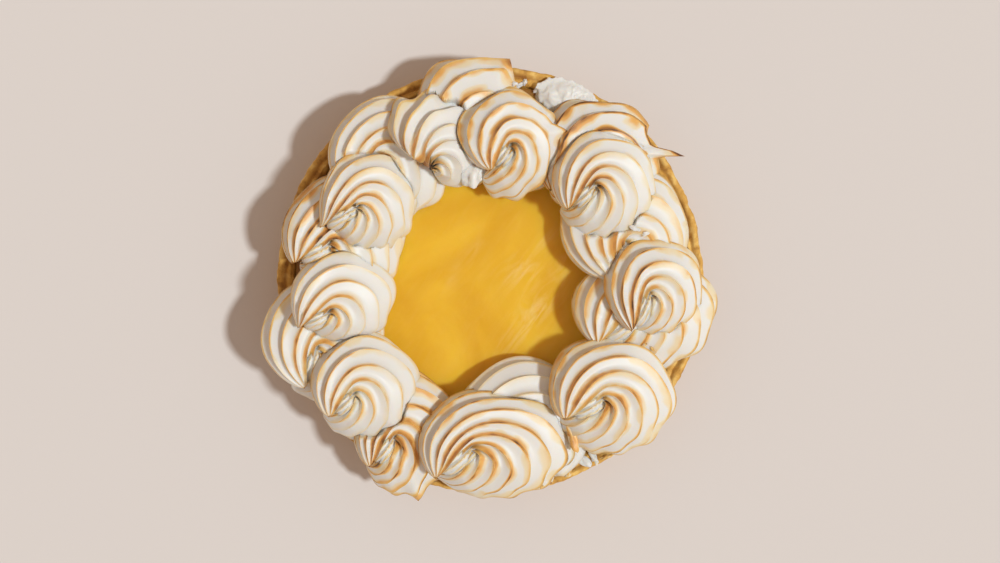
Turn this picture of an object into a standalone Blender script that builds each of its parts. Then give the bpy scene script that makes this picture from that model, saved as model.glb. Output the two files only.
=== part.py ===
"""Mango pie: a baked shortcrust shell, a set mango filling and two tiers of piped meringue rosettes.

Metres, +Z up. The origin is the centre of the flat foot of the shell. Each rosette is one piped rope
of meringue, swept round its eye and pulled away to a folded tip, and each is a solid of its own.
"""
import math

import bmesh
import bpy
from mathutils import Vector

# Shell
CRUST_RADIUS = 0.1140
FOOT_RADIUS = 0.0985
RIM_HEIGHT = 0.0274
RIM_THICKNESS = 0.0085
WALL_THICKNESS = 0.0070
FLOOR_THICKNESS = 0.0040
FLOOR_CORNER = (0.0020, 0.0012)
RIM_UNEVENNESS = 0.0007
UNEVEN_FROM = 0.010
INNER_BAND = 0.0022
INNER_BAND_DROP = 0.0006
GROOVE = 0.0034
GROOVE_DROP = 0.0014
OUTER_BAND = 0.0022
OUTER_BAND_DROP = 0.0016
LIP_UNDERCUT = (0.0014, 0.0058)
FOOT_CORNER = (0.0022, 0.0024)
TURN_STEPS = 60
FILLING_STEPS = 48
MERGE_DISTANCE = 0.00005

# Filling
FILLING_TOP = 0.0252
FILLING_SHOULDER = 0.0040
FILLING_INSET = 0.0016
FILLING_EDGE = (0.0014, 0.0008)
PIECE_GAP = 0.0003

# Meringue
LOWER_BASE = FILLING_TOP + PIECE_GAP
UPPER_BASE = 0.0335
RIM_CLEARANCE_HEIGHT = 0.0286
RIM_CLEARANCE_RADIUS = 0.1048
RIM_ROOM_STEPS = 48
NOZZLE_TEETH = 11
RIDGE_DEPTH = 0.19
CUTTER_HEIGHT = 0.080
CUTTER_REACH = 0.160
FOOTPRINT_GROWTH = 1.022
PRISM_CORNER = math.radians(1.0)

# The rope of one rosette, in units of the rosette's radius and in degrees of the turn round it
EYE_GAP = 0.02
TOTAL_TURN = 352.0
TURN_ANGLE = -50.0
FOLD_ANGLE = 95.0
ROLL_PER_DEGREE = 0.42
START_ROLL = 0.0048
START_INNER_SHARE = 0.72
START_TUCK = 0.16
EYE_HEIGHT_AT_START = 0.66
EYE_HEIGHT_AT_END = 0.80
START_SINK = 0.04
EYE_FULLNESS = 0.55
OUTER_HEIGHT = 0.20
OUTER_RISE = 0.14
RISE_FROM = 0.3
RISE_OVER = 0.6
ROPE_HALF_HEIGHT = 0.52
UNDERSIDE_DROP = 1.3
FULL_ROPE_WIDTH = 0.8
THINNING = 0.75
START_THINNING = 0.25
TIP_HEIGHT = 0.80
START_ROUNDING = 0.10
START_SIZE = 0.08
END_ROUNDING = 0.03
END_SIZE = 0.03
ROLL_START_ANGLE = 0.0
# How sharply each value turns from its course to its end: higher is later and quicker
TUCK_POWER = 1.25
INNER_FOLD_POWER = 1.25
OUTER_FOLD_POWER = 3.0
INNER_LIFT_POWER = 1.6
OUTER_LIFT_POWER = 2.2

UPPER_RINGS = 15
LOWER_RINGS = 12
UPPER_FACES = 720
LOWER_FACES = 560
UPPER_RISE = 0.0290
LOWER_RISE = 0.0262

# Upper tier, millimetres: centre x, centre y, half width, half depth, then the eye and the tip
# in units of those halves, and the angle at which the rope leaves the outline for the tip.
UPPER_ROSETTES = {
    "rosette_upper_1": (-63.9, 41.8, 25.6, 27.4, (-0.23, -0.19), (-0.97, -0.56), 208),
    "rosette_upper_2": (-31.0, 71.4, 25.5, 27.5, (0.01, -0.51), (-0.31, -0.35), 172),
    "rosette_upper_3": (9.8, 71.3, 27.8, 29.3, (0.02, -0.10), (-0.31, -0.52), 202),
    "rosette_upper_4": (57.9, 50.4, 28.6, 29.2, (-0.16, -0.07), (-0.62, -0.49), 205),
    "rosette_upper_5": (86.1, -4.7, 25.6, 25.8, (-0.17, -0.11), (-0.49, -0.86), 232),
    "rosette_upper_6": (62.9, -60.6, 33.9, 29.4, (-0.16, -0.05), (-0.71, -0.40), 202),
    "rosette_upper_7": (2.3, -85.9, 41.4, 29.2, (-0.31, -0.06), (-0.74, -0.60), 212),
    "rosette_upper_8": (-65.5, -55.9, 29.4, 28.4, (-0.18, -0.13), (-0.60, -0.55), 207),
    "rosette_upper_9": (-76.0, -8.9, 27.4, 25.0, (-0.29, -0.34), (-0.87, -0.66), 210),
}

# Lower tier: the same values.
LOWER_ROSETTES = {
    "rosette_lower_1": (-78.2, 22.8, 33.4, 33.0, (-0.20, -0.16), (-0.73, -0.42), 216),
    "rosette_lower_2": (-53.3, 64.7, 33.9, 32.6, (-0.18, -0.08), (-0.70, -0.55), 212),
    "rosette_lower_3": (-11.0, 84.3, 31.5, 33.9, (-0.10, -0.30), (-0.60, -0.66), 215),
    "rosette_lower_4": (56.4, 63.6, 32.0, 32.0, (-0.18, -0.08), (-0.70, -0.55), 212),
    "rosette_lower_5": (70.6, 27.6, 34.6, 33.4, (0.05, -0.30), (-0.08, -0.88), 250),
    "rosette_lower_6": (80.6, -16.4, 39.9, 32.0, (-0.12, -0.08), (-0.62, -0.55), 212),
    "rosette_lower_7": (19.8, -74.2, 36.5, 33.0, (-0.18, -0.08), (-0.70, -0.55), 212),
    "rosette_lower_8": (-45.8, -80.6, 28.8, 34.0, (-0.18, -0.08), (-0.60, -0.60), 215),
    "rosette_lower_9": (-90.0, -32.3, 34.5, 32.0, (-0.02, -0.16), (-0.19, -0.78), 228),
}

# What single rosettes have of their own, where the rope, the nozzle or the hand's turn differ
OWN_TEETH = {"rosette_upper_2": 10, "rosette_upper_6": 12, "rosette_upper_7": 13, "rosette_lower_3": 9}
OWN_TURN = {"rosette_upper_2": 243.0}
OWN_RIDGE_DEPTH = {"rosette_upper_2": 0.32}
OWN_ROLL = {"rosette_upper_1": 0.58, "rosette_upper_2": 0.95}
OWN_ROLL_SHIFT = {"rosette_upper_2": -8.0}
# The edge of a rosette that was wiped off along the rim: its place, lean and how much is left
WIPED = {"rosette_lower_3": 0.0122}
WIPED_LEAN = 0.23
WIPED_LEAN_FROM = 0.110
WIPED_REST = 0.04

# The smear on the rim
SMEAR_START = 80.0
SMEAR_END = 57.0
SMEAR_RADIUS = 0.1072
SMEAR_WIDTH = 0.0190
SMEAR_HEIGHT = 0.0075
SMEAR_RINGS = 9
SMEAR_SIDES = 10
SMEAR_FACES = 200
SMEAR_END_SIZE = 0.06
SMEAR_LUMP = 0.18
SMEAR_ROUGHNESS = 0.14
SMEAR_NEIGHBOURS = ("rosette_upper_3", "rosette_upper_4", "rosette_lower_3", "rosette_lower_4")

# Which rosette lies over which, where two of the same tier touch.
OVER = {
    "rosette_upper_1": ("rosette_upper_2", "rosette_upper_9"),
    "rosette_upper_2": ("rosette_upper_3",),
    "rosette_upper_3": ("rosette_upper_4",),
    "rosette_upper_4": (),
    "rosette_upper_5": ("rosette_upper_6",),
    "rosette_upper_6": (),
    "rosette_upper_7": ("rosette_upper_6",),
    "rosette_upper_8": (),
    "rosette_upper_9": ("rosette_upper_8",),
    "rosette_lower_1": ("rosette_lower_9",),
    "rosette_lower_2": ("rosette_lower_1",),
    "rosette_lower_3": ("rosette_lower_2",),
    "rosette_lower_4": (),
    "rosette_lower_5": ("rosette_lower_4",),
    "rosette_lower_6": ("rosette_lower_5",),
    "rosette_lower_7": (),
    "rosette_lower_8": ("rosette_lower_7",),
    "rosette_lower_9": ("rosette_lower_8",),
}

# Finishes: colour, roughness, metallic
PASTRY = ("baked_pastry", (0.46, 0.23, 0.06), 0.75, 0.0)
MANGO = ("mango_filling", (0.78, 0.41, 0.03), 0.30, 0.0)
MERINGUE = ("toasted_meringue", (0.85, 0.80, 0.70), 0.55, 0.0)


def new_collection(name):
    """A collection in the scene."""
    collection = bpy.data.collections.new(name)
    bpy.context.scene.collection.children.link(collection)
    return collection


def material(finish):
    """The material of a finish, made once."""
    name, colour, roughness, metallic = finish
    found = bpy.data.materials.get(name)
    if found:
        return found
    made = bpy.data.materials.new(name)
    made.use_nodes = True
    shader = made.node_tree.nodes["Principled BSDF"]
    shader.inputs["Base Color"].default_value = (*colour, 1.0)
    shader.inputs["Roughness"].default_value = roughness
    shader.inputs["Metallic"].default_value = metallic
    return made


def smooth_step(value):
    """0 to 1 with soft ends."""
    clamped = min(max(value, 0.0), 1.0)
    return clamped * clamped * (3.0 - 2.0 * clamped)


def direction(degrees):
    """The flat unit vector at an angle."""
    return Vector((math.cos(math.radians(degrees)), math.sin(math.radians(degrees))))


def turned(name, profile, collection, steps=TURN_STEPS):
    """A solid of revolution: a profile in the XZ plane, turned by a Screw modifier."""
    mesh = bpy.data.meshes.new(name)
    points = [(radius, 0.0, height) for radius, height in profile]
    mesh.from_pydata(points, [(i, i + 1) for i in range(len(points) - 1)], [])
    source = bpy.data.objects.new(name + "_profile", mesh)
    collection.objects.link(source)
    screw = source.modifiers.new("turn", "SCREW")
    screw.axis = "Z"
    screw.steps = steps
    screw.render_steps = steps
    screw.use_merge_vertices = True
    screw.merge_threshold = MERGE_DISTANCE
    screw.use_smooth_shade = True
    return baked(source, name, collection)


def baked(source, name, collection):
    """The evaluated mesh of an object as a new object of its own; the source goes."""
    graph = bpy.context.evaluated_depsgraph_get()
    mesh = bpy.data.meshes.new_from_object(source.evaluated_get(graph))
    mesh.name = name
    made = bpy.data.objects.new(name, mesh)
    made.matrix_world = source.matrix_world
    collection.objects.link(made)
    bpy.data.objects.remove(source)
    return made


def crust_wave(angle):
    """The slow unevenness of a hand-lined rim, from -1 to 1."""
    waves = ((3, 0.7, 0.34), (7, 2.1, 0.27), (13, 4.4, 0.22), (29, 1.3, 0.17))
    return sum(size * math.sin(count * angle + phase) for count, phase, size in waves)


def make_crust(collection):
    """The pastry shell: a flat floor, a flared wall and a worn double-banded rim."""
    inner_rim = CRUST_RADIUS - RIM_THICKNESS
    inner_foot = FOOT_RADIUS - WALL_THICKNESS
    profile = (
        (0.0, FLOOR_THICKNESS),
        (inner_foot, FLOOR_THICKNESS),
        (inner_foot + FLOOR_CORNER[0], FLOOR_THICKNESS + FLOOR_CORNER[1]),
        (inner_rim - FILLING_INSET, FILLING_TOP - FILLING_SHOULDER),
        (inner_rim, FILLING_TOP),
        (inner_rim + INNER_BAND, RIM_HEIGHT - INNER_BAND_DROP),
        (inner_rim + GROOVE, RIM_HEIGHT - GROOVE_DROP),
        (CRUST_RADIUS - OUTER_BAND, RIM_HEIGHT),
        (CRUST_RADIUS, RIM_HEIGHT - OUTER_BAND_DROP),
        (CRUST_RADIUS - LIP_UNDERCUT[0], RIM_HEIGHT - LIP_UNDERCUT[1]),
        (FOOT_RADIUS + FOOT_CORNER[0], FOOT_CORNER[1]),
        (FOOT_RADIUS, 0.0),
        (0.0, 0.0),
    )
    crust = turned("pastry_shell", profile, collection)
    wall_start = inner_rim + INNER_BAND / 2
    for vertex in crust.data.vertices:
        flat = math.hypot(vertex.co.x, vertex.co.y)
        if flat < wall_start or vertex.co.z < UNEVEN_FROM:
            continue
        angle = math.atan2(vertex.co.y, vertex.co.x)
        wave = crust_wave(angle)
        share = (vertex.co.z - UNEVEN_FROM) / (RIM_HEIGHT - UNEVEN_FROM)
        vertex.co.z += RIM_UNEVENNESS * wave * share
        push = 1.0 + RIM_UNEVENNESS * crust_wave(angle + 1.0) * share / CRUST_RADIUS
        vertex.co.x *= push
        vertex.co.y *= push
    crust.data.materials.append(material(PASTRY))
    return crust


def make_filling(collection):
    """The set filling, up to the level that shows, a gap inside the shell."""
    inner_rim = CRUST_RADIUS - RIM_THICKNESS - PIECE_GAP
    inner_foot = FOOT_RADIUS - WALL_THICKNESS - PIECE_GAP
    profile = (
        (0.0, FILLING_TOP),
        (inner_rim - FILLING_EDGE[0] - FILLING_EDGE[1], FILLING_TOP),
        (inner_rim - FILLING_EDGE[1], FILLING_TOP - FILLING_EDGE[1]),
        (inner_rim - FILLING_INSET - PIECE_GAP, FILLING_TOP - FILLING_SHOULDER),
        (inner_foot + FLOOR_CORNER[0] - PIECE_GAP, FLOOR_THICKNESS + FLOOR_CORNER[1] + PIECE_GAP),
        (inner_foot, FLOOR_THICKNESS + PIECE_GAP),
        (0.0, FLOOR_THICKNESS + PIECE_GAP),
    )
    filling = turned("mango_filling", profile, collection, FILLING_STEPS)
    filling.data.materials.append(material(MANGO))
    return filling


def rope_section(name, turn, eye, tip, leave_angle):
    """One section of the piped rope in rosette units: its middle, half width, lean and half height."""
    total_turn = OWN_TURN.get(name, TOTAL_TURN)
    start_angle = leave_angle - total_turn
    angle = start_angle + total_turn * turn
    start_share = max(0.0, (TURN_ANGLE - angle) / (TURN_ANGLE - start_angle))
    fold = max(0.0, (angle - FOLD_ANGLE) / (leave_angle - FOLD_ANGLE))
    outline = direction(angle)
    inner = eye + (outline - eye).normalized() * EYE_GAP
    under_fold = eye.lerp(tip, START_INNER_SHARE)
    under_fold += Vector((tip.y - eye.y, eye.x - tip.x)).normalized() * START_TUCK
    inner = inner.lerp(under_fold, start_share ** TUCK_POWER)
    inner = inner.lerp(tip, fold ** INNER_FOLD_POWER)
    outer = outline.lerp(tip, fold ** OUTER_FOLD_POWER)
    width = (outer - inner).length
    inner_height = EYE_HEIGHT_AT_START + (EYE_HEIGHT_AT_END - EYE_HEIGHT_AT_START) * turn
    inner_height -= START_SINK * start_share
    inner_height += (TIP_HEIGHT - inner_height) * fold ** INNER_LIFT_POWER
    outer_height = OUTER_HEIGHT + OUTER_RISE * smooth_step((turn - RISE_FROM) / RISE_OVER)
    outer_height += (TIP_HEIGHT - outer_height) * fold ** OUTER_LIFT_POWER
    half_height = ROPE_HALF_HEIGHT * min(1.0, (width / FULL_ROPE_WIDTH) ** THINNING)
    half_height *= 1.0 - START_THINNING * start_share
    early = min(1.0, turn / START_ROUNDING)
    size = START_SIZE + (1.0 - START_SIZE) * math.sqrt(1.0 - (1.0 - early) ** 2)
    size *= 1.0 - (1.0 - END_SIZE) * smooth_step((turn - 1.0 + END_ROUNDING) / END_ROUNDING)
    behind = leave_angle - angle
    before = max(0.0, ROLL_START_ANGLE - angle)
    roll = OWN_ROLL.get(name, ROLL_PER_DEGREE) * behind + START_ROLL * before ** 2
    roll = math.radians(roll + OWN_ROLL_SHIFT.get(name, 0.0))
    return inner, outer, inner_height, outer_height, half_height * size, size, roll


def rope_ring(name, turn, eye, tip, leave_angle):
    """The points of one section: a star of ridges, carried along and slowly rolled with the rope.

    Its top stays nearly level towards the eye, and its underside sags there, so that no hollow is
    left in or under the middle of the rosette.
    """
    inner, outer, inner_height, outer_height, half_height, size, roll = rope_section(
        name, turn, eye, tip, leave_angle)
    teeth = OWN_TEETH.get(name, NOZZLE_TEETH)
    valley = 1.0 - OWN_RIDGE_DEPTH.get(name, RIDGE_DEPTH)
    middle = (inner + outer) / 2
    reach = (inner - outer) / 2 * size
    lean = (inner_height - outer_height) / 2 * size
    centre_height = (inner_height + outer_height) / 2
    ring = []
    for step in range(teeth * 2):
        place = math.pi * step / teeth + roll
        spread = 1.0 if step % 2 == 0 else valley
        across = math.cos(place)
        up = math.sin(place)
        if up > 0.0:
            up **= 1.0 - EYE_FULLNESS * max(0.0, across)
        across *= spread
        up *= spread
        if up < 0.0:
            up *= 1.0 + UNDERSIDE_DROP * (1.0 + across) / 2
        flat = middle + reach * across
        ring.append(Vector((flat.x, flat.y, centre_height + lean * across + half_height * up)))
    return ring


def loft(name, rings, collection):
    """A closed skin through rings of equal count, with both ends capped."""
    shape = bmesh.new()
    loops = []
    for ring in rings:
        loops.append([shape.verts.new(point) for point in ring])
    count = len(loops[0])
    for first, second in zip(loops, loops[1:]):
        for step in range(count):
            after = (step + 1) % count
            shape.faces.new((first[step], first[after], second[after], second[step]))
    shape.faces.new(loops[0][::-1])
    shape.faces.new(loops[-1])
    bmesh.ops.recalc_face_normals(shape, faces=shape.faces)
    bmesh.ops.triangulate(shape, faces=shape.faces)
    mesh = bpy.data.meshes.new(name)
    shape.to_mesh(mesh)
    shape.free()
    made = bpy.data.objects.new(name, mesh)
    collection.objects.link(made)
    return made


def prism(name, outline, low, high, collection):
    """An upright prism over the hull of an outline, used only to cut."""
    shape = bmesh.new()
    corners = [shape.verts.new((x, y, z)) for x, y in outline for z in (low, high)]
    hull = bmesh.ops.convex_hull(shape, input=corners)
    spare = {item for item in hull["geom_interior"] + hull["geom_unused"]
             if isinstance(item, bmesh.types.BMVert)}
    bmesh.ops.delete(shape, geom=list(spare), context="VERTS")
    bmesh.ops.dissolve_limit(shape, angle_limit=PRISM_CORNER, verts=shape.verts, edges=shape.edges)
    bmesh.ops.recalc_face_normals(shape, faces=shape.faces)
    mesh = bpy.data.meshes.new(name)
    shape.to_mesh(mesh)
    shape.free()
    made = bpy.data.objects.new(name, mesh)
    collection.objects.link(made)
    return as_cutter(made)


def as_cutter(tool):
    """Marks an object as one that only cuts."""
    tool.hide_render = True
    tool.display_type = "WIRE"
    return tool


def cut(piece, tool, with_self=False):
    """Takes a cutter out of a piece."""
    boolean = piece.modifiers.new("cut_" + tool.name, "BOOLEAN")
    boolean.operation = "DIFFERENCE"
    boolean.solver = "EXACT"
    boolean.use_self = with_self
    boolean.object = tool


def keep_largest(piece):
    """Drops the loose scraps that a cut leaves."""
    shape = bmesh.new()
    shape.from_mesh(piece.data)
    unseen = set(shape.verts)
    bodies = []
    while unseen:
        body = []
        front = [unseen.pop()]
        while front:
            vertex = front.pop()
            body.append(vertex)
            for edge in vertex.link_edges:
                other = edge.other_vert(vertex)
                if other in unseen:
                    unseen.remove(other)
                    front.append(other)
        bodies.append(body)
    bodies.sort(key=len)
    for body in bodies[:-1]:
        bmesh.ops.delete(shape, geom=body, context="VERTS")
    shape.to_mesh(piece.data)
    shape.free()


def thin_out(piece, faces):
    """Collapses the shortest and flattest triangles, down to about this many."""
    triangulate = piece.modifiers.new("triangles", "TRIANGULATE")
    triangulate.quad_method = "BEAUTY"
    graph = bpy.context.evaluated_depsgraph_get()
    count = len(piece.evaluated_get(graph).data.polygons)
    if count <= faces:
        return
    decimate = piece.modifiers.new("fewer_faces", "DECIMATE")
    decimate.ratio = faces / count


def wiped(name, x, y):
    """The x of a point, pulled back to the straight edge where its rosette was wiped off."""
    if name not in WIPED:
        return x
    past = x - WIPED[name] + WIPED_LEAN * (y - WIPED_LEAN_FROM)
    return x - (1.0 - WIPED_REST) * max(past, 0.0)


def rosette_rings(name, values, base, rise, rings):
    """The rings of one rosette's rope, in its place on the pie."""
    centre_x, centre_y, half_x, half_y, eye, tip, leave_angle = values
    grid = []
    for index in range(rings):
        ring = []
        for point in rope_ring(name, index / (rings - 1), Vector(eye), Vector(tip), leave_angle):
            x = (centre_x + half_x * point.x) / 1000
            y = (centre_y + half_y * point.y) / 1000
            ring.append((wiped(name, x, y), y, base + rise * point.z))
        grid.append(ring)
    return grid


def make_footprint(name, values, grid, low, cutters):
    """The room that a rosette takes in plan, a little larger than its own outline."""
    centre_x = values[0] / 1000
    centre_y = values[1] / 1000
    outline = [(centre_x + (x - centre_x) * FOOTPRINT_GROWTH, centre_y + (y - centre_y) * FOOTPRINT_GROWTH)
               for ring in grid for x, y, _ in ring]
    return prism(name + "_footprint", outline, low, CUTTER_HEIGHT, cutters)


def finish_piped(piece, name, faces, tools, pieces):
    """Cuts a piped piece by its tools, keeps the one body and thins its faces."""
    for index, tool in enumerate(tools):
        cut(piece, tool, with_self=index == 0)
    trimmed = baked(piece, name + "_cut", pieces)
    keep_largest(trimmed)
    thin_out(trimmed, faces)
    done = baked(trimmed, name, pieces)
    done.data.materials.append(material(MERINGUE))
    return done


def make_bed(name, base, cutters):
    """The room under a tier of meringue, which cuts its pieces flat."""
    square = [(x, y) for x in (-CUTTER_REACH, CUTTER_REACH) for y in (-CUTTER_REACH, CUTTER_REACH)]
    return prism(name, square, -CUTTER_HEIGHT, base, cutters)


def make_rim_room(cutters):
    """The room that the crust's rim takes, which cuts a step into what lies over it."""
    profile = (
        (CUTTER_REACH, 0.0),
        (RIM_CLEARANCE_RADIUS, 0.0),
        (RIM_CLEARANCE_RADIUS, RIM_CLEARANCE_HEIGHT),
        (CUTTER_REACH, RIM_CLEARANCE_HEIGHT),
        (CUTTER_REACH, 0.0),
    )
    return as_cutter(turned("rim_room", profile, cutters, RIM_ROOM_STEPS))


def make_meringue(pieces, cutters):
    """Both tiers of rosettes, each clear of those that lie over it, and the smear on the rim."""
    lower_bed = make_bed("lower_bed", LOWER_BASE, cutters)
    upper_bed = make_bed("upper_bed", UPPER_BASE, cutters)
    rim_room = make_rim_room(cutters)
    grids = {}
    footprints = {}
    for name, values in UPPER_ROSETTES.items():
        grids[name] = rosette_rings(name, values, UPPER_BASE, UPPER_RISE, UPPER_RINGS)
        footprints[name] = make_footprint(name, values, grids[name], UPPER_BASE - PIECE_GAP, cutters)
    for name, values in LOWER_ROSETTES.items():
        grids[name] = rosette_rings(name, values, LOWER_BASE, LOWER_RISE, LOWER_RINGS)
        footprints[name] = make_footprint(name, values, grids[name], 0.0, cutters)
    for name in UPPER_ROSETTES:
        tools = [upper_bed] + [footprints[other] for other in OVER[name]]
        rope = loft(name + "_rope", grids[name], pieces)
        finish_piped(rope, name, UPPER_FACES, tools, pieces)
    for name, values in LOWER_ROSETTES.items():
        above = [footprints[other] for other in OVER[name]] + touching(values, footprints)
        rope = loft(name + "_rope", grids[name], pieces)
        finish_piped(rope, name, LOWER_FACES, [lower_bed, rim_room] + above, pieces)
    make_smear(pieces, [lower_bed, rim_room], footprints)


def touching(values, footprints):
    """The footprints of the upper rosettes that reach over a lower one."""
    found = []
    for name, place in UPPER_ROSETTES.items():
        apart = math.hypot(place[0] - values[0], place[1] - values[1])
        if apart < max(place[2], place[3]) + max(values[2], values[3]):
            found.append(footprints[name])
    return found


def make_smear(pieces, room, footprints):
    """The scraped strip of meringue along the rim, between two lower rosettes."""
    rings = []
    for step in range(SMEAR_RINGS):
        share = step / (SMEAR_RINGS - 1)
        angle = SMEAR_START + (SMEAR_END - SMEAR_START) * share
        size = math.sqrt(math.sin(math.pi * (SMEAR_END_SIZE + (1 - 2 * SMEAR_END_SIZE) * share)))
        size *= 1.0 - SMEAR_LUMP + SMEAR_LUMP * math.sin(step * 2.3)
        ring = []
        for side in range(SMEAR_SIDES):
            turn = 2 * math.pi * side / SMEAR_SIDES
            rough = 1.0 + SMEAR_ROUGHNESS * math.sin(side * 2.0 + step * 1.7)
            radius = SMEAR_RADIUS + SMEAR_WIDTH / 2 * size * rough * math.cos(turn)
            height = LOWER_BASE + SMEAR_HEIGHT * size * rough * math.sin(turn)
            place = direction(angle) * radius
            ring.append((place.x, place.y, height))
        rings.append(ring)
    strip = loft("smear_strip", rings, pieces)
    above = [footprints[name] for name in SMEAR_NEIGHBOURS]
    finish_piped(strip, "meringue_smear", SMEAR_FACES, room + above, pieces)


def build():
    """The whole pie."""
    for leftover in list(bpy.data.objects):
        bpy.data.objects.remove(leftover)
    pieces = new_collection("mango_pie")
    cutters = new_collection("cutters")
    make_crust(pieces)
    make_filling(pieces)
    make_meringue(pieces, cutters)


build()
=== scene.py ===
# A mango pie: baked shell, set mango filling, and two tiers of piped and torched meringue.
import math

import bpy
import numpy as np
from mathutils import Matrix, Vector, noise


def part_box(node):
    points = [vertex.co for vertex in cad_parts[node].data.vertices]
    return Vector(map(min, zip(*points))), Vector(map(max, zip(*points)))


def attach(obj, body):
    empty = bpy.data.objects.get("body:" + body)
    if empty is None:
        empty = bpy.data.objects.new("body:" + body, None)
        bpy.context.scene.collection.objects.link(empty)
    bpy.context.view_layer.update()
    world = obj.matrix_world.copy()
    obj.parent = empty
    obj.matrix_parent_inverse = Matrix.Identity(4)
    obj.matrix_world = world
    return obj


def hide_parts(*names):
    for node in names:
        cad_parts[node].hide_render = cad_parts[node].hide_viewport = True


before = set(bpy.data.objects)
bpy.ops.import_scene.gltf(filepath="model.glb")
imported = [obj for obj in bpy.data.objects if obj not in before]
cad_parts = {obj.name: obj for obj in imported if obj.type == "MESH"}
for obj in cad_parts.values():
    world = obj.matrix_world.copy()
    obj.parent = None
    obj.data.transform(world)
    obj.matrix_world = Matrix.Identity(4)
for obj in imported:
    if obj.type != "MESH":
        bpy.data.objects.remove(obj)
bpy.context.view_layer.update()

mm = 0.001
print("frame loaded:", len(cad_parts), "nodes")


def deselectAll():
    if bpy.context.object and bpy.context.object.mode != "OBJECT":
        bpy.ops.object.mode_set(mode="OBJECT")
    bpy.ops.object.select_all(action="DESELECT")


def pick(piece):
    # one piece selected and active
    deselectAll()
    piece.select_set(True)
    bpy.context.view_layer.objects.active = piece


def softStep(value):
    value = np.clip(value, 0.0, 1.0)
    return value * value * (3.0 - 2.0 * value)


def fade(distance, width):
    # 1 at no distance, falling evenly to 0 at that width
    return np.clip(1.0 - distance / width, 0.0, 1.0)


def unit(degrees):
    return np.array((math.cos(math.radians(degrees)), math.sin(math.radians(degrees))))


def getPoints(piece):
    flat = np.empty(len(piece.data.vertices) * 3)
    piece.data.vertices.foreach_get("co", flat)
    return flat.reshape(-1, 3)


def setPoints(piece, points):
    piece.data.vertices.foreach_set("co", np.asarray(points, dtype=np.float64).ravel())
    piece.data.update()


def getNormals(piece):
    flat = np.empty(len(piece.data.vertices) * 3)
    piece.data.vertices.foreach_get("normal", flat)
    return flat.reshape(-1, 3)


def paint(piece, name, values):
    # a value per point, which the materials read
    layer = piece.data.attributes.get(name) or piece.data.attributes.new(name, "FLOAT", "POINT")
    layer.data.foreach_set("value", np.asarray(values, dtype=np.float32))


def readPaint(piece, name):
    values = np.empty(len(piece.data.vertices), dtype=np.float32)
    piece.data.attributes[name].data.foreach_get("value", values)
    return values


def wobble(points, size, seed=0.0):
    # smooth noise from -1 to 1 at points, with lumps of about that size
    shift = Vector((seed, seed * 1.7, -seed))
    return np.array([noise.noise(Vector(point) / size + shift) for point in points])


def followProfile(radius, height, profile):
    # draws the chosen round face through every radius and height of a profile
    for nextRadius, nextHeight in profile:
        bpy.ops.mesh.extrude_region_move(
            TRANSFORM_OT_translate={"value": (0, 0, nextHeight - height)})
        share = nextRadius / radius
        bpy.ops.transform.resize(value=(share, share, 1), center_override=(0, 0, 0))
        radius, height = nextRadius, nextHeight


def finishPiece(piece, material, nodes, creaseAngle=60):
    # the piece is shaded, gets its material, rides on the pie and stands for its CAD nodes
    pick(piece)
    bpy.ops.object.shade_smooth_by_angle(angle=math.radians(creaseAngle))
    piece.data.materials.clear()
    piece.data.materials.append(material)
    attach(piece, "root")
    if nodes:
        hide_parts(*nodes)


def newGroup(name, inputs, outputs):
    group = bpy.data.node_groups.new(name, "ShaderNodeTree")
    for label, kind, value in inputs:
        socket = group.interface.new_socket(name=label, in_out="INPUT", socket_type=kind)
        socket.default_value = value
    for label, kind in outputs:
        group.interface.new_socket(name=label, in_out="OUTPUT", socket_type=kind)
    return group, group.nodes.new("NodeGroupInput"), group.nodes.new("NodeGroupOutput")


def addNode(tree, kind, **settings):
    node = tree.nodes.new(kind)
    for key, value in settings.items():
        setattr(node, key, value)
    return node


def calc(tree, operation, first, second=None, clamp=False):
    node = addNode(tree, "ShaderNodeMath", operation=operation, use_clamp=clamp)
    for socket, value in zip(node.inputs, (first, second)):
        if value is None:
            continue
        if isinstance(value, (int, float)):
            socket.default_value = value
        else:
            tree.links.new(value, socket)
    return node.outputs[0]


def ramp(tree, factor, stops):
    node = addNode(tree, "ShaderNodeValToRGB")
    node.color_ramp.interpolation = "EASE"
    while len(node.color_ramp.elements) < len(stops):
        node.color_ramp.elements.new(0.5)
    for element, (place, colour) in zip(node.color_ramp.elements, stops):
        element.position = place
        element.color = (*colour, 1.0)
    tree.links.new(factor, node.inputs["Fac"])
    return node.outputs["Color"]


def mixColour(tree, factor, first, second, blend="MIX"):
    node = addNode(tree, "ShaderNodeMix", data_type="RGBA", blend_type=blend)
    for socket, value in ((node.inputs[0], factor), (node.inputs[6], first), (node.inputs[7], second)):
        if isinstance(value, (int, float)):
            socket.default_value = value
        elif isinstance(value, tuple):
            socket.default_value = (*value, 1.0)
        else:
            tree.links.new(value, socket)
    return node.outputs[2]


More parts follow.
